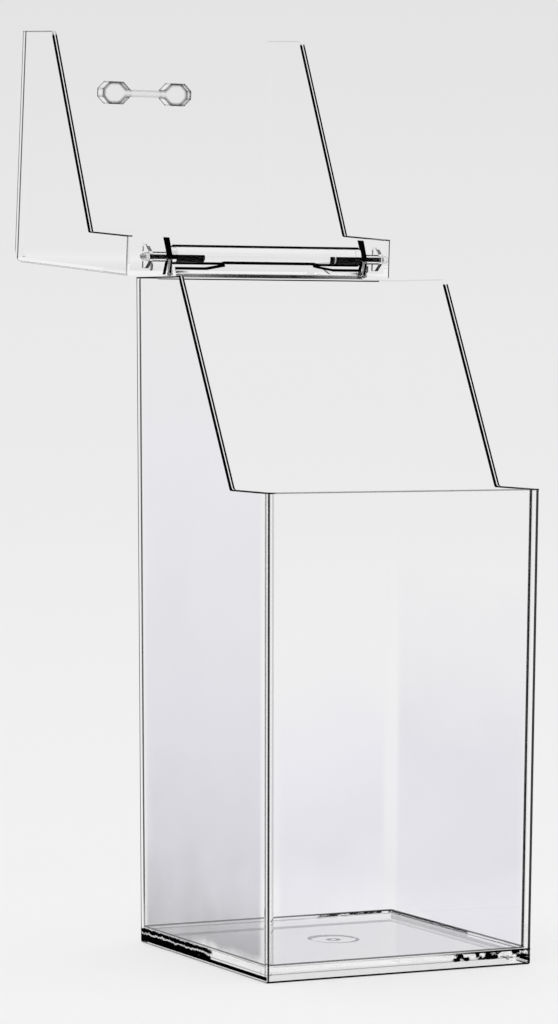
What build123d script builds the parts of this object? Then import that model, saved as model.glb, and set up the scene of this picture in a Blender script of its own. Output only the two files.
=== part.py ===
from build123d import *
import os

# Clear flip-lid waste bin: a square drafted tub with a slanting mouth, a hood-shaped lid that
# completes the block, and a pin hinge carried on a knuckle bonded to the rear wall.
# Millimetres. +X right across the front, +Y to the rear, +Z up.
# The origin is the centre of the foot, on the surface that the bin stands on.

# ---- driving dimensions -------------------------------------------------------------------------
half_base = 75.0            # half the outside width and depth, measured at the foot
draft = 0.008               # outward lean of every outside wall, mm per mm of height
wall = 2.6                  # moulded wall thickness
corner_radius = 1.5         # upright outside corners

floor_top = 7.5             # height of the inside floor
floor_thickness = 2.6
floor_fillet = 1.6          # inside, where the walls meet the floor
foot_edge_radius = 1.1      # outside, round the foot
foot_corner_radius = 11.0   # plan radius of the hollow under the floor
gate_radius = 12.5          # shallow round gate mark at the floor's centre
gate_depth = 0.35
gate_dimple_radius = 1.8
gate_dimple_depth = 0.9

front_rim = 241.9           # rim height at the front
rear_rim = 348.7            # rim height at the rear
front_flat = 41.4           # length of the level rim before the slope, along a side wall
rear_flat = 53.5            # length of the level rim behind the slope
rim_corner_radius = 2.4     # where slope and level rim meet

lid_top = 370.1             # height of the closed lid
lid_nose_radius = 8.0       # between the lid's top and front panels
lid_edge_radius = 1.2       # along both sides of that bend
lid_rear_face = 74.7        # outer face of the closed lid's rear wall
lid_gap = 0.3               # between the two rims when the lid is shut

axis_y = 81.7               # hinge axis
axis_z = 359.6
open_angle = 176.4          # the lid is modelled shut, then swung open by this much

barrel_radius = 5.2
barrel_rise = 1.3           # the barrel's centre lies this far above the pins
barrel_half_length = 54.4
band_top = 354.3            # raised band under the barrel
band_lean = 2.8             # the band leans this far back between rim and barrel
tab_half_foot = 37.0        # web joining band and barrel
tab_half_head = 27.0
tab_head = 356.9
strip_half_length = 64.5    # knuckle foot let into the rear rim
strip_depth = 1.1

pin_radius = 1.25
pin_inner_end = 37.0        # distance from the middle of the bin
pin_outer_end = 68.3
pressed_bore_radius = 1.22  # the pins are pressed into the barrel
running_bore_radius = 1.30  # and turn in the lid's brackets

plate_inner = 56.2          # inner bracket plate, between these distances from the middle
plate_outer = 58.8
plate_half_height = 10.1
sleeve_radius = 2.6
sleeve_end = 69.0
rib_inner = 67.0            # outer bracket rib
rib_half_height = 6.3
spur_inner = 63.3           # small rib at the bracket's foot
spur_outer = 64.4
stop_inner = 53.0           # stop lug, which meets the raised band when the lid is open
cap_length = 4.4
glue_line = 0.03            # left between bonded faces

grip_height = 274.6         # centre of the bone-shaped grip on the closed lid's front panel
grip_depth = 8.5
grip_end_centre = 19.0
grip_end_width = 16.4
grip_end_height = 12.7
grip_end_chamfer = 4.1
grip_bar_height = 4.1


# ---- shared geometry ----------------------------------------------------------------------------
def half_width(z):
    """Half the outside width of the drafted block at height z."""
    return half_base + draft * z


def drafted_block(inset, radius, z_low, z_high):
    """Square drafted block, its sides moved in by inset."""
    ends = []
    for z in (z_low, z_high):
        side = 2 * (half_width(z) - inset)
        ends.append(Pos(0, 0, z) * RectangleRounded(side, side, radius))
    return loft(ends, ruled=True)


def side_slab(points, half_length):
    """Prism with its outline in the YZ plane, running from -half_length to half_length in X."""
    outline = make_face(Plane.YZ * Polyline(*points, close=True))
    return extrude(outline, half_length, both=True)


def round_rod(radius, x_from, x_to, y, z):
    """Cylinder along X."""
    rod = Cylinder(radius, x_to - x_from, rotation=(0, 90, 0))
    return Pos((x_from + x_to) / 2, y, z) * rod


def swing_open(shape):
    """Turn a part of the shut lid about the hinge axis into its open place."""
    return Pos(0, axis_y, axis_z) * Rot(-open_angle, 0, 0) * Pos(0, -axis_y, -axis_z) * shape


def mirrored(shape):
    """The same part for the other side."""
    return mirror(shape, Plane.YZ)


slope_front_y = -half_width(front_rim) + front_flat
slope_rear_y = half_width(rear_rim) - rear_flat
parts = {}


# ---- bin body -----------------------------------------------------------------------------------
def make_bin_body():
    shell = drafted_block(0, corner_radius, 0, rear_rim)
    foot_edges = shell.edges().filter_by_position(Axis.Z, -0.1, 0.1)
    shell = fillet(foot_edges, foot_edge_radius)

    hollow = drafted_block(wall, 2.0, floor_top, rear_rim + 5)
    floor_edges = hollow.edges().filter_by_position(Axis.Z, floor_top - 0.1, floor_top + 0.1)
    shell -= fillet(floor_edges, floor_fillet)
    shell -= drafted_block(wall, foot_corner_radius, -1, floor_top - floor_thickness)

    far = 2 * half_base
    mouth = side_slab(
        [(-far, front_rim), (slope_front_y, front_rim), (slope_rear_y, rear_rim),
         (slope_rear_y, rear_rim + 20), (-far, rear_rim + 20)],
        far,
    )
    foot_of_slope = mouth.edges().filter_by(Axis.X).sort_by_distance((0, slope_front_y, front_rim))[0]
    shell -= fillet(foot_of_slope, rim_corner_radius)

    shell -= Pos(0, 0, floor_top) * Cylinder(gate_radius, 2 * gate_depth)
    shell -= Pos(0, 0, floor_top) * Cone(gate_dimple_radius / 3, gate_dimple_radius, 2 * gate_dimple_depth)

    seat = Box(2 * (strip_half_length + glue_line), 4 * wall, 2 * strip_depth)
    shell -= Pos(0, half_width(rear_rim), rear_rim) * seat
    return shell


parts["bin_body"] = make_bin_body()


# ---- hinge knuckle: foot strip, raised band, web and barrel in one moulding ----------------------
def make_hinge_knuckle():
    inner_y = half_width(rear_rim) - wall
    outer_y = half_width(rear_rim) - 0.02
    foot_z = rear_rim - strip_depth + glue_line
    strip = side_slab(
        [(inner_y, foot_z), (outer_y, foot_z), (outer_y, rear_rim), (inner_y, rear_rim)],
        strip_half_length,
    )
    web_outline = [
        (inner_y, rear_rim - 0.5), (outer_y, rear_rim - 0.5), (outer_y, rear_rim + 0.5),
        (outer_y + band_lean, tab_head + 0.5), (inner_y + band_lean, tab_head + 1.4), (inner_y, rear_rim + 1.4),
    ]
    web = side_slab(web_outline, barrel_half_length)
    front_outline = make_face(
        Plane.XZ * Polyline(
            (-barrel_half_length, rear_rim - 5), (barrel_half_length, rear_rim - 5),
            (barrel_half_length, band_top), (tab_half_foot, band_top),
            (tab_half_head, tab_head - 0.9), (tab_half_head, tab_head + 3),
            (-tab_half_head, tab_head + 3), (-tab_half_head, tab_head - 0.9),
            (-tab_half_foot, band_top), (-barrel_half_length, band_top),
            close=True,
        )
    )
    web &= extrude(front_outline, 2 * half_base, both=True)

    barrel_z = axis_z + barrel_rise
    barrel = round_rod(barrel_radius, -barrel_half_length, barrel_half_length, axis_y, barrel_z)
    knuckle = strip + web + barrel
    for side in (-1, 1):
        ends = sorted((side * pin_inner_end, side * (barrel_half_length + 5)))
        knuckle -= round_rod(pressed_bore_radius, ends[0], ends[1], axis_y, axis_z)
    return knuckle


parts["hinge_knuckle"] = make_hinge_knuckle()

pin = round_rod(pin_radius, pin_inner_end + 0.05, pin_outer_end, axis_y, axis_z)
pin = chamfer(pin.edges().filter_by(GeomType.CIRCLE), 0.2)
parts["hinge_pin_right"] = pin
parts["hinge_pin_left"] = mirrored(pin)


# ---- lid, modelled shut -------------------------------------------------------------------------
def lid_block(inset, rear_y, low_front, low_rear):
    """Drafted block of the lid moved in by inset, without its nose radius."""
    top = lid_top - inset
    front_low_y = -half_width(low_front) + inset
    front_top_y = -half_width(top) + inset
    block = side_slab(
        [(front_low_y, low_front), (slope_front_y, low_front), (slope_rear_y, low_rear),
         (rear_y, low_rear), (rear_y, top), (front_top_y, top)],
        2 * half_base,
    )
    low = half_width(low_front) - inset
    high = half_width(top) - inset
    sides = make_face(
        Plane.XZ * Polyline((-low, low_front), (low, low_front), (high, top), (-high, top), close=True)
    )
    block &= extrude(sides, 2 * half_base, both=True)
    foot = block.edges().filter_by(Axis.X).sort_by_distance((0, slope_front_y, low_front))[0]
    block = fillet(foot, rim_corner_radius)
    nose = block.edges().filter_by(Axis.X).sort_by_distance((0, front_top_y, top))[0]
    return fillet(nose, lid_nose_radius - inset)


def make_lid_shell():
    rim_front = front_rim + lid_gap
    rim_rear = rear_rim + lid_gap
    shell = lid_block(0, lid_rear_face, rim_front, rim_rear)
    side_edges = [e for e in shell.edges() if abs(e.center().X) > half_base]
    front = [e for e in side_edges if e.center().Y < -70 and e.center().Z > rim_front + 5]
    top = [e for e in side_edges if e.center().Z > lid_top - 0.1]
    shell = fillet(front + top, lid_edge_radius)

    hollow = lid_block(wall, lid_rear_face - wall, rim_front, rim_rear)
    below = side_slab(
        [(-half_width(rim_front) + wall, rim_front - 9), (slope_front_y, rim_front - 9),
         (slope_rear_y, rim_rear - 9), (lid_rear_face - wall, rim_rear - 9),
         (lid_rear_face - wall, rim_rear + 1), (slope_rear_y, rim_rear + 1),
         (slope_front_y, rim_front + 1), (-half_width(rim_front) + wall, rim_front + 1)],
        half_width(rim_front) - wall,
    )
    return shell - hollow - below


lid_shell = make_lid_shell()
parts["lid_shell"] = swing_open(lid_shell)


# ---- lid bracket: plate, sleeve, rib and stop lug in one moulding ---------------------------------
def bracket_slab(points, x_from, x_to):
    """Plate square to X, its outline given from the hinge axis with the lid shut."""
    outline = make_face(Plane.YZ * Polyline(*[(axis_y + y, axis_z + z) for y, z in points], close=True))
    return Pos(x_from, 0, 0) * extrude(outline, x_to - x_from, dir=(1, 0, 0))


def make_hinge_bracket():
    back = lid_rear_face - axis_y + glue_line
    plate_front = -1.4
    plate_nose = 3.2
    stop = [(4.18, 9.22), (3.02, 6.61), (1.05, 7.26), (1.52, 9.94)]

    plate = bracket_slab(
        [(back, -plate_half_height), (plate_front, -plate_half_height), (plate_nose - 0.9, -2.6),
         (plate_nose, -0.6), (plate_nose, 0.6), (3.02, 6.61), (4.18, 9.22), (1.52, 9.94), (back, plate_half_height)],
        plate_inner, plate_outer,
    )
    lug = bracket_slab(stop, stop_inner, plate_inner)
    rib = bracket_slab(
        [(back, -rib_half_height), (-3.3, -rib_half_height), (2.4, -1.6), (3.0, -0.5), (3.0, 0.5),
         (2.4, 1.6), (-3.3, rib_half_height), (back, rib_half_height)],
        rib_inner, sleeve_end,
    )
    spur = bracket_slab([(back, 0), (back + 1.5, 0), (back + 1.5, 6.9), (back, 7.6)], spur_inner, spur_outer)
    sleeve = round_rod(sleeve_radius, plate_inner, sleeve_end, axis_y, axis_z)
    neck = bracket_slab([(back, -1.0), (-1.5, -1.0), (-1.5, 1.0), (back, 1.0)], plate_inner, sleeve_end)
    bracket = plate + lug + rib + spur + sleeve + neck
    return bracket - round_rod(running_bore_radius, stop_inner - 5, sleeve_end + 5, axis_y, axis_z)


bracket = make_hinge_bracket()
parts["hinge_bracket_right"] = swing_open(bracket)
parts["hinge_bracket_left"] = swing_open(mirrored(bracket))


# ---- bullet-nosed cap that closes each bracket's sleeve -------------------------------------------
def make_hinge_cap():
    start = sleeve_end + glue_line
    profile = make_face(
        Line((start, 0), (start, sleeve_radius - 0.2))
        + Spline(
            (start, sleeve_radius - 0.2), (start + 0.55 * cap_length, 0.72 * sleeve_radius),
            (start + cap_length, 0), tangents=((1, 0), (0, -1)),
        )
        + Line((start + cap_length, 0), (start, 0))
    )
    cap = revolve(profile, Axis.X)
    return Pos(0, axis_y, axis_z) * cap


cap = make_hinge_cap()
parts["hinge_cap_right"] = swing_open(cap)
parts["hinge_cap_left"] = swing_open(mirrored(cap))


# ---- bone-shaped grip bonded to the lid's front panel ---------------------------------------------
def octagon(centre_x):
    w = grip_end_width / 2
    h = grip_end_height / 2
    c = grip_end_chamfer
    points = [(w, h - c), (w - c, h), (c - w, h), (-w, h - c), (-w, c - h), (c - w, -h), (w - c, -h), (w, c - h)]
    return Pos(centre_x, 0) * make_face(Polyline(*points, close=True))


def make_bone_grip():
    panel_y = -half_width(grip_height)
    panel = Plane(origin=(0, panel_y, grip_height), x_dir=(1, 0, 0), z_dir=(0, -1, -draft))
    bone = octagon(-grip_end_centre) + octagon(grip_end_centre)
    bone += Rectangle(2 * grip_end_centre, grip_bar_height)
    return panel.offset(glue_line) * extrude(bone, grip_depth)


parts["bone_grip"] = swing_open(make_bone_grip())


# ---- one file for each part -----------------------------------------------------------------------
os.makedirs("parts", exist_ok=True)
for name, shape in parts.items():
    export_step(shape, f"parts/{name}.step")
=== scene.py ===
import math

import bpy
from mathutils import Matrix, Vector

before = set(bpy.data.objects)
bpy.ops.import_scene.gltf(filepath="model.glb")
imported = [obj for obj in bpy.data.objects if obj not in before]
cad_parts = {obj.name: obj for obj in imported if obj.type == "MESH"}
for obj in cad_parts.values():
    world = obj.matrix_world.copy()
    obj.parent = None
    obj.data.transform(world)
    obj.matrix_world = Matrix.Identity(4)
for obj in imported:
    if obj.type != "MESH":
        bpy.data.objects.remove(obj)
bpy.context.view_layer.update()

scene = bpy.context.scene

# ---- Camera --------------------------------------------------------------------------------------
# A long lens a little above the foot of the bin, left of its front.

camera_azimuth = math.radians(-26.431)
camera_elevation = math.radians(2.540)
camera_roll = math.radians(0.294)
camera_distance = 2.0495
camera_aim = Vector((-0.03217, 0.0, 0.22862))
camera_lens = 141.08

towards_camera = Vector((
    math.sin(camera_azimuth) * math.cos(camera_elevation),
    -math.cos(camera_azimuth) * math.cos(camera_elevation),
    math.sin(camera_elevation),
))
level_right = Vector((0, 0, 1)).cross(towards_camera).normalized()
level_up = towards_camera.cross(level_right)
right = level_right * math.cos(camera_roll) + level_up * math.sin(camera_roll)
up = level_up * math.cos(camera_roll) - level_right * math.sin(camera_roll)

camera_data = bpy.data.cameras.new("studio_camera")
camera_data.lens = camera_lens
camera_data.sensor_width = 36
camera = bpy.data.objects.new("studio_camera", camera_data)
camera.matrix_world = Matrix.Translation(camera_aim + towards_camera * camera_distance) @ Matrix(
    (right, up, towards_camera)
).transposed().to_4x4()
scene.collection.objects.link(camera)
scene.camera = camera


# ---- Studio floor and light ------------------------------------------------------------------------
# A pale sweep of matt board, evenly lit. The sky of the studio is a dome of white cloth that meets
# the floor at the same brightness, so no horizon shows.

class Wire:
    """An output socket. Arithmetic on it adds Math nodes to its tree."""

    def __init__(self, tree, socket):
        self.tree = tree
        self.socket = socket

    def joined(self, operation, first, second=None):
        step = self.tree.nodes.new("ShaderNodeMath")
        step.operation = operation
        fill(self.tree, step.inputs[0], first)
        if second is not None:
            fill(self.tree, step.inputs[1], second)
        return Wire(self.tree, step.outputs[0])

    def __add__(self, other):
        return self.joined("ADD", self, other)

    def __radd__(self, other):
        return self.joined("ADD", other, self)

    def __sub__(self, other):
        return self.joined("SUBTRACT", self, other)

    def __rsub__(self, other):
        return self.joined("SUBTRACT", other, self)

    def __mul__(self, other):
        return self.joined("MULTIPLY", self, other)

    def __rmul__(self, other):
        return self.joined("MULTIPLY", other, self)

    def __abs__(self):
        return self.joined("ABSOLUTE", self)

    def least(self, other):
        return self.joined("MINIMUM", self, other)

    def most(self, other):
        return self.joined("MAXIMUM", self, other)

    def beyond(self, other):
        """1 where this is over the other, 0 elsewhere."""
        return self.joined("GREATER_THAN", self, other)

    def length_with(self, other):
        """Length of the two as the legs of a right angle."""
        return self.joined("SQRT", self * self + other * other)


def fill(tree, place, value):
    """Links a socket to a wire, or sets it to a number or colour."""
    if isinstance(value, Wire):
        tree.links.new(value.socket, place)
    else:
        place.default_value = value


class Finish:
    """A node tree under construction, for a material or the studio's dome."""

    def __init__(self, owner):
        owner.use_nodes = True
        self.owner = owner
        self.tree = owner.node_tree
        self.tree.nodes.clear()

    def node(self, kind, settings=None, sockets=None, out=0):
        """Adds a node: its settings first, a ramp's stops among them, then its sockets' values."""
        made = self.tree.nodes.new(kind)
        for key, value in (settings or {}).items():
            if key == "stops":
                ramp = made.color_ramp
                while len(ramp.elements) < len(value):
                    ramp.elements.new(0.5)
                for element, (place, colour) in zip(ramp.elements, value):
                    element.position = place
                    element.color = colour
            else:
                setattr(made, key, value)
        for key, value in (sockets or {}).items():
            fill(self.tree, made.inputs[key], value)
        return Wire(self.tree, made.outputs[out]) if made.outputs else made

    def rise(self, value, low, high):
        """0 where the value is under low, 1 over high, smooth between."""
        return self.node(
            "ShaderNodeMapRange", {"interpolation_type": "SMOOTHSTEP"},
            {"Value": value, "From Min": low, "From Max": high},
        )

    def fall(self, value, low, high):
        """1 where the value is under low, 0 over high, smooth between."""
        return 1 - self.rise(value, low, high)

    def band(self, value, low, high, soft):
        """1 between low and high, falling to 0 over a soft margin outside them."""
        return self.rise(value, low - soft, low) * self.fall(value, high, high + soft)

    def blend(self, factor, first, second):
        """Mixes two colours."""
        return self.node(
            "ShaderNodeMix", {"data_type": "RGBA"}, {"Factor": factor, 6: first, 7: second}, out=2,
        )


def grey(value):
    return (value, value, value, 1)


floor_side = 120.0
floor_drop = 0.0002
floor_near = 0.945
floor_far = 0.838
floor_reach = 16            # metres out to where the floor's shade stops changing
mottle_share = 0.01
sky_light = 0.983
glow_share = 0.7            # part of the floor's brightness that comes from lamps under it
dome_horizon = 0.823
dome_above = 0.763

floor_mesh = bpy.data.meshes.new("studio_floor")
half = floor_side / 2
floor_mesh.from_pydata(
    [(x, y, -floor_drop) for x, y in ((-half, -half), (half, -half), (half, half), (-half, half))],
    [], [(0, 1, 2, 3)],
)
floor = bpy.data.objects.new("studio_floor", floor_mesh)
scene.collection.objects.link(floor)

board = Finish(bpy.data.materials.new("matt_board"))
place = board.node("ShaderNodeTexCoord", out="Object")
away = board.node("ShaderNodeVectorMath", {"operation": "LENGTH"}, {0: place}, out="Value")
mottle = board.node("ShaderNodeTexNoise", sockets={"Vector": place, "Scale": 3.0, "Detail": 2.0}, out="Fac")
# Painted shade: the board's colour darkens with distance from the bin, from floor_near to floor_far.
painted_floor_falloff = board.node(
    "ShaderNodeValToRGB",
    {"stops": [
        (0.0, grey(floor_near)), (0.0125, grey(0.937)), (0.022, grey(0.912)), (0.0625, grey(0.888)),
        (0.131, grey(0.877)), (0.29, grey(0.855)), (1.0, grey(floor_far)),
    ]},
    {"Fac": away * (1 / floor_reach)},
)
board_colour = board.blend(mottle * mottle_share, painted_floor_falloff, grey(1.0))
board_surface = board.node("ShaderNodeBsdfDiffuse", sockets={"Color": board_colour})
board_glow = board.node("ShaderNodeEmission", sockets={"Color": board_colour, "Strength": sky_light})
board_mix = board.node("ShaderNodeMixShader", sockets={0: glow_share, 1: board_surface, 2: board_glow})
board.node("ShaderNodeOutputMaterial", sockets={"Surface": board_mix})
floor_mesh.materials.append(board.owner)

scene.world = bpy.data.worlds.new("studio_dome")
dome = Finish(scene.world)
direction = dome.node("ShaderNodeTexCoord", out="Generated")
height = dome.node("ShaderNodeSeparateXYZ", sockets={"Vector": direction}, out="Z")
shade = dome.node(
    "ShaderNodeValToRGB",
    {"stops": [(0.0, grey(dome_horizon)), (0.1, grey(dome_above)), (0.3, grey(0.80)), (0.6, grey(0.9))]},
    {"Fac": height},
)
on_board = dome.node("ShaderNodeLightPath", out="Is Diffuse Ray")
cloth = dome.blend(on_board, shade, grey(sky_light))
light = dome.node("ShaderNodeBackground", sockets={"Color": cloth, "Strength": 1.0})
dome.node("ShaderNodeOutputWorld", sockets={"Surface": light})
scene.world.cycles.sampling_method = "NONE"     # or the board would not see its own light

# The tones stay as they are lit, and light is followed through all the clear walls in its way.
clear_walls = 40
scene.view_settings.view_transform = "Standard"
scene.cycles.max_bounces = clear_walls
scene.cycles.transmission_bounces = clear_walls
scene.cycles.glossy_bounces = clear_walls
scene.cycles.transparent_max_bounces = clear_walls


# ---- Bin body --------------------------------------------------------------------------------------
# The square tub, one polished clear moulding with a slanting mouth. It stands on the rim of its
# hollow foot. Its corners, rims and foot are painted dark, as shade for the light they turn away; its faces
# hardly show.

millimetres = 1000          # in a metre
refraction = 1.49
# Painted shade: the near-black that is mixed into the clear plastic wherever its edges and refractions are to
# look dark.
painted_shade_colour = (0.001, 0.001, 0.0015, 1)
edge_roughness = 0.25
polish_wander = 0.012
surface_glint = (0.15, 0.15, 0.15, 1)
clear_colour = (0.995, 0.995, 0.998, 1)


class ClearPlastic(Finish):
    """Polished clear moulding. Positions are in millimetres, in the frame of the standing bin."""

    def __init__(self, name):
        super().__init__(bpy.data.materials.new(name))
        self.where = self.node("ShaderNodeTexCoord", out="Object")
        facing = self.node("ShaderNodeTexCoord", out="Normal")
        self.x, self.y, self.z = (part * millimetres for part in self.apart(self.where))
        self.facing_x, self.facing_y, self.facing_z = (abs(part) for part in self.apart(facing))
        self.from_outside = 1 - self.node("ShaderNodeNewGeometry", out="Backfacing")
        self.from_inside = 1 - self.from_outside

    def apart(self, vector):
        """The X, Y and Z of a vector."""
        return [self.node("ShaderNodeSeparateXYZ", sockets={"Vector": vector}, out=axis) for axis in "XYZ"]

    def arrises(self, reach):
        """1 along sharp edges, out to about half the reach."""
        rounded = self.node("ShaderNodeBevel", {"samples": 6}, {"Radius": reach / millimetres})
        true = self.node("ShaderNodeNewGeometry", out="Normal")
        match = abs(self.node(
            "ShaderNodeVectorMath", {"operation": "DOT_PRODUCT"}, {0: rounded, 1: true}, out="Value",
        ))
        return self.fall(match, 0.86, 0.97)

    def glancing(self, low, high):
        """1 on the flanks of a round shape, where it turns light away like a glass rod; mixed in as painted
        shade, it paints those flanks dark.
        """
        return self.rise(self.node("ShaderNodeLayerWeight", sockets={"Blend": 0.5}, out="Facing"), low, high)

    def far_wall(self, depth):
        """1 on both skins of a wall met from the hollow side, at this depth in the wall."""
        inner_skin = self.from_outside * self.rise(depth, 2.3, 2.4)
        return inner_skin.most(self.from_inside * self.fall(depth, 2.0, 2.2))

    def rim(self, y, gap):
        """Height of the mouth's rim at depth y: level, slope, level."""
        slope = (y - slope_front) * ((rear_rim - front_rim) / (slope_rear - slope_front)) + front_rim
        return slope.most(front_rim).least(rear_rim) + gap

    def rim_lines(self, y, off_rim, in_wall):
        """Painted shade: dark lines along both edges of the rim, which is off_rim away, at depth in_wall of
        the wall.
        """
        bleed = self.band(y, slope_front + 1, slope_rear - 1, 1.0) * slope_bleed + rim_bleed
        on_rim = self.fall(abs(off_rim) - bleed, 0.0, 0.4)
        return on_rim * (1 - self.band(in_wall, rim_line, wall - rim_line, 0.15))

    def poured(self, colour, dark, gone=0.0, roughness=0.0):
        """The material: clear, but painted black as shade where dark is 1, and unseen where gone is 1."""
        flow = self.node(
            "ShaderNodeTexNoise", sockets={"Vector": self.where, "Scale": 60.0, "Detail": 2.0}, out="Fac",
        )
        body = self.node(
            "ShaderNodeBsdfPrincipled",
            sockets={
                "Base Color": colour, "Roughness": (flow - 0.45).most(0.0) * polish_wander + roughness,
                "IOR": refraction, "Transmission Weight": 1.0, "Specular IOR Level": 0.1,
                "Specular Tint": surface_glint, "Alpha": 1 - gone,
            },
        )
        # shut is the painted shade: a black, dull surface that the dark mask mixes in.
        shut = self.node(
            "ShaderNodeBsdfPrincipled",
            sockets={
                "Base Color": painted_shade_colour, "Roughness": flow * 0.1 + edge_roughness,
                "IOR": refraction, "Specular IOR Level": 0.0,
            },
        )
        mirrored = self.node("ShaderNodeLightPath", out="Glossy Depth").beyond(0.5)
        shown = dark.least(1.0).most(0.0) * (1 - mirrored)
        surface = self.node("ShaderNodeMixShader", sockets={0: shown, 1: body, 2: shut})
        self.node("ShaderNodeOutputMaterial", sockets={"Surface": surface})
        return self.owner


def dress(node_name, material):
    """Gives a CAD node its finish."""
    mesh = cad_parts[node_name].data
    mesh.materials.clear()
    mesh.materials.append(material)


half_foot = 75.0
lean = 0.008                # outward, for each millimetre of height
wall = 2.6
front_rim = 241.9
rear_rim = 348.7
slope_front = -35.54
slope_rear = 24.29
tub_height = 350.0
rim_line = 1.12
rim_bleed = 0.45
slope_bleed = 1.2
turnover = 20.0             # half the width over which left gives way to right, and front to rear
gate_ring = 12.3
cloud_wander = 50

tub = ClearPlastic("clear_tub")
half_here = tub.z * lean + half_foot
from_side = half_here - abs(tub.x)
from_front = half_here - abs(tub.y)
from_rear = half_here - tub.y
nearer = from_side.least(from_front)
farther = from_side.most(from_front)
skew = abs(from_side - from_front)
to_right = tub.rise(tub.x, -turnover, turnover)
to_rear = tub.rise(tub.y, -turnover, turnover)
upright = tub.fall(tub.facing_z, 0.1, 0.3)
on_side = (from_front - from_side).beyond(0.0)

# Painted shade: dark lines on both faces of each corner, with a brighter seam between them at the front left,
# a painted highlight made by leaving the seam unseen.
off_seam = skew + (1 - on_side) * 0.55
side_share = 1 - on_side * (1 - to_rear) * 0.4
corner_reach = (to_right * (1 - on_side) * 0.7).most(on_side * 0.5) + 1.45
outer_corner = (
    tub.rise(off_seam, 0.8, 1.0) * tub.fall(farther - corner_reach, 0.0, 0.15)
    * upright * tub.from_outside * side_share
)
inner_corner = (
    tub.rise(skew, 0.5, 0.8) * tub.fall(farther - to_right * 0.6, 4.5, 4.7) * tub.rise(nearer, 2.4, 2.5)
    * upright * tub.from_inside
)
inner_share = to_right.most(to_rear).most(0.3)
rear_edge = (
    (tub.band(from_rear, -1.0, 1.8, 0.3) * 0.8).most(tub.band(from_rear, 4.6, 6.0, 0.3) * 0.45)
    * tub.fall(from_side, 0.3, 0.6) * tub.rise(tub.facing_x, 0.8, 0.9) * upright * tub.from_outside
)
corners = rear_edge.most(outer_corner * 0.95).most(inner_corner * inner_share * 0.95)
painted_bright_seam = (
    tub.fall(off_seam, 0.75, 0.95) * tub.fall(farther, 1.5, 1.7) * upright * tub.from_outside
    * (1 - to_right) * (1 - to_rear) * 0.85
)
far_corner = tub.fall(farther, 6.0, 6.2) * upright * tub.far_wall(nearer)

# Painted shade along the two edges of the mouth's rim. The front rail and the right end of the rear rim are
# fainter.
rear_right = tub.rise(tub.z, 345.5, 346.5) * tub.rise(tub.x, 0.0, 40.0)
front_rail = tub.fall(from_front, 2.6, 3.0) * (1 - to_rear) * tub.rise(farther, 3.0, 6.0)
rims = (
    tub.rim_lines(tub.y, tub.rim(tub.y, 0.0) - tub.z, nearer) * tub.rise(tub.z, 200.0, 205.0)
    * (1 - rear_right * 0.92) * (1 - front_rail * 0.6)
)

# Painted shade in the foot's band, from the ground up: bottom edge, underside of the floor slab, ragged dark
# patches where the slab meets the wall, and the lines above it.
on_skin = tub.fall(nearer, 0.3, 0.5)
side_foot = tub.rise(tub.facing_x, 0.5, 0.9)
foot_line = (
    (tub.band(tub.z, -1.0, 1.0, 0.2) * (1 - side_foot * 0.5)).most(tub.band(tub.z, 1.5, 3.2, 0.2) * side_foot)
    * tub.fall(nearer, 1.2, 1.4)
)
slab_line = tub.band(tub.z, 4.1, 4.5, 0.15) * on_skin * 0.45
ragged = tub.node(
    "ShaderNodeTexNoise", sockets={"Vector": tub.where, "Scale": 260.0, "Detail": 3.0}, out="Fac",
)
wander = ragged - 0.5
front_part = tub.rise(tub.facing_y, 0.5, 0.6)
side_part = tub.rise(tub.facing_x, 0.5, 0.6)
front_patch = tub.rise(tub.x + wander * 20, 28.0, 32.0) * tub.rise(ragged, 0.40, 0.52)
side_patch = (
    tub.rise(tub.y + wander * 20, -13.0, -9.0) * tub.rise(ragged, 0.2, 0.3)
    * (1 - tub.band(tub.z + wander * 3, 5.3, 5.8, 0.3) * 0.75)
)
slab_edge = (
    tub.band(tub.z + wander * 2, 4.4 - side_part * 2.4, 7.9, 0.3) * on_skin
    * (front_patch * front_part).most(side_patch * side_part)
)
upper_line = tub.band(tub.z, 7.6, 8.3, 0.2) * on_skin * front_part * tub.rise(tub.x, 10.0, 45.0)
foot_clear = (
    tub.band(tub.z, 1.2, 3.8, 0.3).most(tub.band(tub.z, 4.8, 7.2, 0.3)) * on_skin * tub.from_outside
    * (1 - slab_edge) * 0.8
)

# Painted shade along the edge of the floor inside, and on the ring and dimple that the moulding gate left in
# it.
floor_line = tub.band(tub.z, 8.5, 9.1, 0.25) * tub.rise(nearer, 2.5, 2.6) * 0.75
floor_start = tub.band(nearer, 4.0, 4.4, 0.2) * tub.band(tub.z, 7.0, 7.7, 0.1) * 0.2
from_gate = tub.x.length_with(tub.y)
on_floor = tub.band(tub.z, 5.5, 7.6, 0.1)
ring_spread = abs(tub.y) * 0.13
ring = tub.fall(abs(from_gate - gate_ring) - ring_spread, 0.1, 0.5) * 0.45
gate = ring.most(tub.band(from_gate, 2.0, 3.6, 0.5) * 0.6) * on_floor
# All the tub's painted shade, mixed in as black.
tub_painted_shade = corners.most(rims).most(foot_line).most(slab_line).most(slab_edge).most(upper_line)
tub_painted_shade = tub_painted_shade.most(floor_line).most(floor_start).most(gate)

# The walls are darkened and tinted lavender towards the foot, the left wall most, and clear near the corners:
# painted shade with a lavender cast. Each stop gives a height, a level and a depth of tint.
cloud = tub.node("ShaderNodeTexNoise", sockets={"Vector": tub.where, "Scale": 22.0, "Detail": 3.0}, out="Fac")
tint_height = (tub.z + (cloud - 0.5) * cloud_wander) * (1 / tub_height)


def lavender(level, depth):
    """A pale colour with more blue and less green as its depth grows."""
    return (level, level * (1 - 0.004 * depth), min(1.0, level * (1 + 0.026 * depth)), 1)


def wall_shade_and_tint(stops):
    """The colour of a wall by height, painted shade with a lavender cast."""
    ramp = [(z / tub_height, lavender(level, depth)) for z, level, depth in stops]
    return tub.node("ShaderNodeValToRGB", {"stops": ramp}, {"Fac": tint_height})


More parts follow.
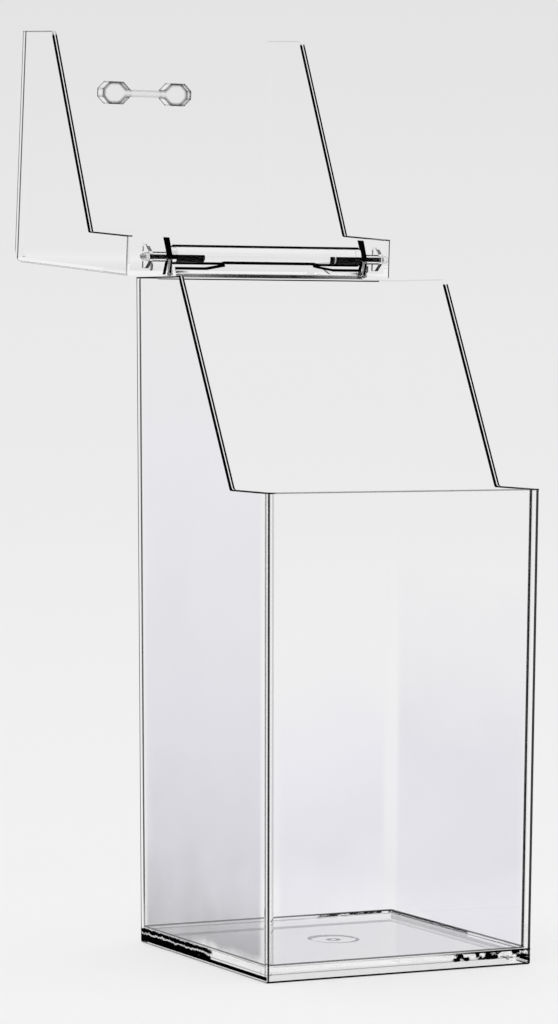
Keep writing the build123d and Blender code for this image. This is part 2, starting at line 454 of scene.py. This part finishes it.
left_wall_shade = wall_shade_and_tint([
    (4, 0.99, 0.0), (9, 0.54, 1.2), (35, 0.67, 1.5), (60, 0.785, 1.8), (110, 0.845, 1.8),
    (165, 0.875, 1.8), (220, 0.935, 1.8), (270, 0.965, 1.6), (330, 0.98, 0.3),
])
right_wall_shade = wall_shade_and_tint([
    (4, 0.99, 0.0), (9, 0.94, 1.0), (60, 0.92, 1.0), (100, 0.895, 1.0), (130, 0.935, 1.0),
    (160, 0.965, 1.0), (195, 0.998, 0.0),
])
front_wall_shade = wall_shade_and_tint([
    (4, 0.99, 0.0), (9, 0.985, 0.6), (25, 0.975, 0.8), (50, 0.918, 1.0), (100, 0.97, 1.0),
    (150, 0.998, 0.0),
])
side_wall_shade = tub.blend(tub.rise(tub.x, -40.0, 40.0), left_wall_shade, right_wall_shade)
tub_colour = tub.blend(tub.rise(tub.facing_x, 0.4, 0.6), front_wall_shade, side_wall_shade)
by_corner = tub.fall(farther, 5.0, 10.0)
tub_colour = tub.blend(by_corner, tub_colour, grey(1.0))
on_level = tub.rise(tub.facing_z, 0.3, 0.6) * tub.rise(tub.z, 6.0, 7.0)
tub_colour = tub.blend(on_level, tub_colour, (0.998, 0.996, 0.999, 1))
dress("bin_body", tub.poured(tub_colour, tub_painted_shade, foot_clear.most(far_corner).most(painted_bright_seam)))


# ---- Hinge knuckle ---------------------------------------------------------------------------------
# Barrel, web and raised band in one clear moulding, bonded into the rear rim.

barrel_y = 81.7
barrel_z = 360.9
wedge_slope = 0.17

knuckle = ClearPlastic("clear_knuckle")
outward = abs(knuckle.x)
from_barrel = (knuckle.y - barrel_y).length_with(knuckle.z - barrel_z)
on_barrel = knuckle.band(from_barrel, 5.0, 5.4, 0.05)
# Painted shade: dark flanks on the barrel, and dark lines under the barrel, along the band's and wedge's
# edges, on the band and at a tick, softer on sharp edges.
silhouette = knuckle.glancing(0.32, 0.42) * knuckle.rise(knuckle.facing_z, 0.65, 0.8) * on_barrel
under_barrel = knuckle.band(knuckle.z, 356.4, 357.3, 0.15) * knuckle.fall(outward, 27.5, 28.5)
barrel_end = knuckle.rise(knuckle.facing_x, 0.8, 0.95) * knuckle.rise(outward, 54.0, 54.2) * 0.8
band_edge = knuckle.band(knuckle.z, 352.9, 354.4, 0.1) * knuckle.rise(outward, 36.5, 37.5)
wedge_height = (37.0 - outward) * wedge_slope + 354.3
wedge_edge = knuckle.band(knuckle.z - wedge_height, -1.3, 0.5, 0.15) * knuckle.band(outward, 26.5, 37.5, 0.2)
band_lines = (
    (knuckle.band(knuckle.z, 351.3, 352.0, 0.15) * knuckle.rise(outward, 46.0, 54.0) * 0.7)
    .most(knuckle.band(knuckle.z, 349.1, 350.4, 0.4) * (knuckle.fall(outward, 10.0, 50.0) * 0.3 + 0.5))
    .most(knuckle.band(knuckle.z, 347.5, 348.2, 0.1) * 0.9)
) * (1 - on_barrel)
tick = (
    knuckle.band(knuckle.x * 0.9 + knuckle.z - 382.9, -0.4, 0.4, 0.15)
    * knuckle.band(knuckle.z, 351.3, 353.9, 0.1) * 0.6
)
knuckle_painted_shade = silhouette.most(under_barrel).most(band_edge).most(wedge_edge).most(band_lines).most(tick)
knuckle_painted_shade = knuckle_painted_shade.most(knuckle.arrises(0.7) * 0.4)
dress("hinge_knuckle", knuckle.poured(clear_colour, knuckle_painted_shade, barrel_end))


# ---- Hinge pins ------------------------------------------------------------------------------------
# Two ground steel rods, pressed into the ends of the barrel. Their colour is painted shade, nearly black and
# without shine, but for one painted highlight ring.

grinding_stretch = (6.0, 1.0, 1.0)
# Painted shade: the steel's colours, nearly black, with the grinding's streaks between them.
steel_darker = (0.0008, 0.0008, 0.001, 1)
steel_paler = (0.004, 0.004, 0.0045, 1)
painted_highlight_colour = (0.85, 0.85, 0.86, 1)

steel = Finish(bpy.data.materials.new("ground_steel"))
rod_place = steel.node("ShaderNodeTexCoord", out="Object")
rod_stretch = steel.node(
    "ShaderNodeMapping", sockets={"Vector": rod_place, "Scale": grinding_stretch}, out="Vector",
)
grinding = steel.node(
    "ShaderNodeTexNoise", sockets={"Vector": rod_stretch, "Scale": 900.0, "Detail": 4.0}, out="Fac",
)
along_rod = steel.node("ShaderNodeSeparateXYZ", sockets={"Vector": rod_place}, out="X") * millimetres
# Painted highlight: a bright ring at the chamfer, 40 mm along the rod.
painted_chamfer_highlight = steel.band(along_rod, 39.9, 40.6, 0.1)
steel_colour = steel.blend(painted_chamfer_highlight, steel.blend(grinding, steel_darker, steel_paler), painted_highlight_colour)
grinding_bump = steel.node(
    "ShaderNodeBump", {}, {"Strength": 0.15, "Distance": 0.00005, "Height": grinding}, out="Normal",
)
steel_surface = steel.node(
    "ShaderNodeBsdfPrincipled",
    sockets={
        "Base Color": steel_colour, "Roughness": grinding * 0.2 + 0.4, "Specular IOR Level": 0.0,
        "Normal": grinding_bump,
    },
)
steel.node("ShaderNodeOutputMaterial", sockets={"Surface": steel_surface})
for pin in ("hinge_pin_left", "hinge_pin_right"):
    dress(pin, steel.owner)


# ---- Lid -------------------------------------------------------------------------------------------
# The hood-shaped lid, a clear moulding like the tub. It stands open, swung right over to the rear.
# Its painted shade lines are worked out where it would lie shut, and so stay on it as it turns.

axis_y = 81.7
axis_z = 359.6
open_turn = math.radians(176.4)
rim_gap = 0.3
lid_rear = 74.7
hood_colour = (0.998, 0.998, 0.999, 1)

hood = ClearPlastic("clear_lid")
off_y = hood.y - axis_y
off_z = hood.z - axis_z
shut_y = off_y * math.cos(open_turn) - off_z * math.sin(open_turn) + axis_y
shut_z = off_y * math.sin(open_turn) + off_z * math.cos(open_turn) + axis_z
hood_side = shut_z * lean + half_foot - abs(hood.x)
hood_front = shut_z * lean + half_foot + shut_y
hood_rear = lid_rear - shut_y
hood_right = hood.rise(hood.x, 0.0, 40.0)
hood_outer = hood_side.most(hood_front)
front_flat = hood.fall(shut_z, 243.5, 245.0)
# Painted shade: dark lines along the rim's edges, on the bends, at the rear corners and along the front edge.
hood_rims = (
    hood.rim_lines(shut_y, shut_z - hood.rim(shut_y, rim_gap), hood_side) * hood.fall(hood_side, 2.7, 2.9)
    * (1 - front_flat * (hood_right * 0.3 + 0.6))
)
hood_bends = (
    hood.band(hood.facing_x, 0.15, 0.6, 0.08).most(hood.band(hood.facing_x, 0.86, 0.965, 0.02))
    * hood.from_outside * 0.5
)
hood_corner = hood.fall(hood_side, 0.5, 0.7) * hood.fall(hood_rear, 0.5, 0.7) * hood.from_outside * 0.5
hood_corner = hood_corner * (1 + hood_right * 0.9)
hood_edge = (
    (hood.band(hood_front, -1.0, 1.6, 0.3) * 0.9).most(hood.band(hood_front, 4.2, 5.6, 0.3) * 0.85)
    * hood.fall(hood_side, 0.3, 0.6) * hood.rise(hood.facing_x, 0.8, 0.9) * hood.from_outside
)
hood_painted_shade = hood_edge.most(hood_rims).most(hood_bends).most(hood_corner)
hood_far = hood.fall(hood_outer, 6.0, 6.2) * hood.far_wall(hood_side.least(hood_front))
hood_soft = hood.from_outside * hood.fall(hood_outer, 1.6, 1.8) * 0.5
dress("lid_shell", hood.poured(hood_colour, hood_painted_shade, hood_far.most(hood_soft)))


# ---- Lid brackets ----------------------------------------------------------------------------------
# Plate, sleeve, rib and stop lug in one clear moulding, bonded to the lid's rear wall on each side.

plate_slant = 0.484

bracket = ClearPlastic("clear_bracket")
in_y = bracket.y - axis_y
in_z = bracket.z - axis_z
sideways = abs(bracket.x)
side_face = bracket.rise(bracket.facing_x, 0.3, 0.6)


def past_slant(height):
    """How far this lies behind the plate's slanting edge, at a height over or under the pin."""
    return in_y - (height - 0.6) * plate_slant + 3.2


# Painted shade: dark lines along the plate's edges, the lower fin, rib, spur and the sleeve's flanks, softer
# on sharp edges.
on_plate = bracket.band(sideways, 56.1, 58.9, 0.05)
lower = bracket.fall(in_z, -1.5, -0.5)
plate_back = bracket.rise(in_y, 4.0, 5.0)
plate_top = on_plate * side_face * bracket.rise(in_z, -1.0, 0.5) * bracket.fall(past_slant(in_z), 1.3, 1.8)
plate_edge = (on_plate * (1 - side_face) * (1 - lower * 0.3) * (1 - plate_back)).most(plate_top)
lower_fin = (
    on_plate * side_face * lower * bracket.band(past_slant(0 - in_z), -1.0, 2.6, 0.2)
    * bracket.rise(in_z, -9.6, -9.0)
)
on_rib = bracket.band(sideways, 66.9, 69.1, 0.05)
rib_edge = on_rib * (1 - side_face) * (
    (bracket.band(in_z, -7.2, -2.4, 0.3) * 0.95).most(bracket.band(in_z, 3.0, 5.4, 0.3) * 0.8)
)
on_spur = bracket.band(sideways, 63.2, 64.5, 0.05)
spur_edge = on_spur * (1 - side_face) * bracket.band(in_z, -8.0, -3.5, 0.3) * 0.8
on_sleeve = bracket.band(in_y.length_with(in_z), 2.45, 2.7, 0.05)
sleeve_edge = (
    bracket.glancing(0.3, 0.42) * bracket.rise(bracket.facing_z, 0.6, 0.8) * on_sleeve
    * bracket.band(sideways, 58.9, 66.8, 0.1) * (1 - side_face) * 0.9
)
on_lug = bracket.band(sideways, 52.9, 56.0, 0.05)
bracket_painted_shade = (bracket.arrises(0.6) * (0.5 - on_plate * 0.5 - on_lug * 0.4)).most(sleeve_edge)
bracket_painted_shade = bracket_painted_shade.most(plate_edge).most(lower_fin).most(rib_edge).most(spur_edge)
bracket_gone = (on_plate * side_face.most(plate_back) * (1 - lower_fin)).most(on_lug * 0.85)
bracket_finish = bracket.poured(clear_colour, bracket_painted_shade, bracket_gone)
for part in ("hinge_bracket_left", "hinge_bracket_right"):
    dress(part, bracket_finish)


# ---- Bullet-nosed caps -----------------------------------------------------------------------------
# Small noses of the same plastic, left matt, that close the sleeves' ends.

cap_roughness = 0.35

cap = ClearPlastic("clear_cap")
# Painted shade on the caps' flanks.
cap_painted_shade = cap.glancing(0.5, 0.8) * cap.from_outside * 0.4
cap_finish = cap.poured(clear_colour, cap_painted_shade, 0.0, cap_roughness)
for part in ("hinge_cap_left", "hinge_cap_right"):
    dress(part, cap_finish)


# ---- Bone-shaped grip ------------------------------------------------------------------------------
# A solid clear bone, two octagons and a bar, bonded to the lid's front panel. Its sharp edges are painted
# dark as shade, the bar's fainter.

grip = ClearPlastic("clear_grip")
on_octagon = grip.rise(abs(grip.x), 9.0, 11.0)
dress("bone_grip", grip.poured(clear_colour, grip.arrises(4.0) * (on_octagon * 0.8 + 0.2)))
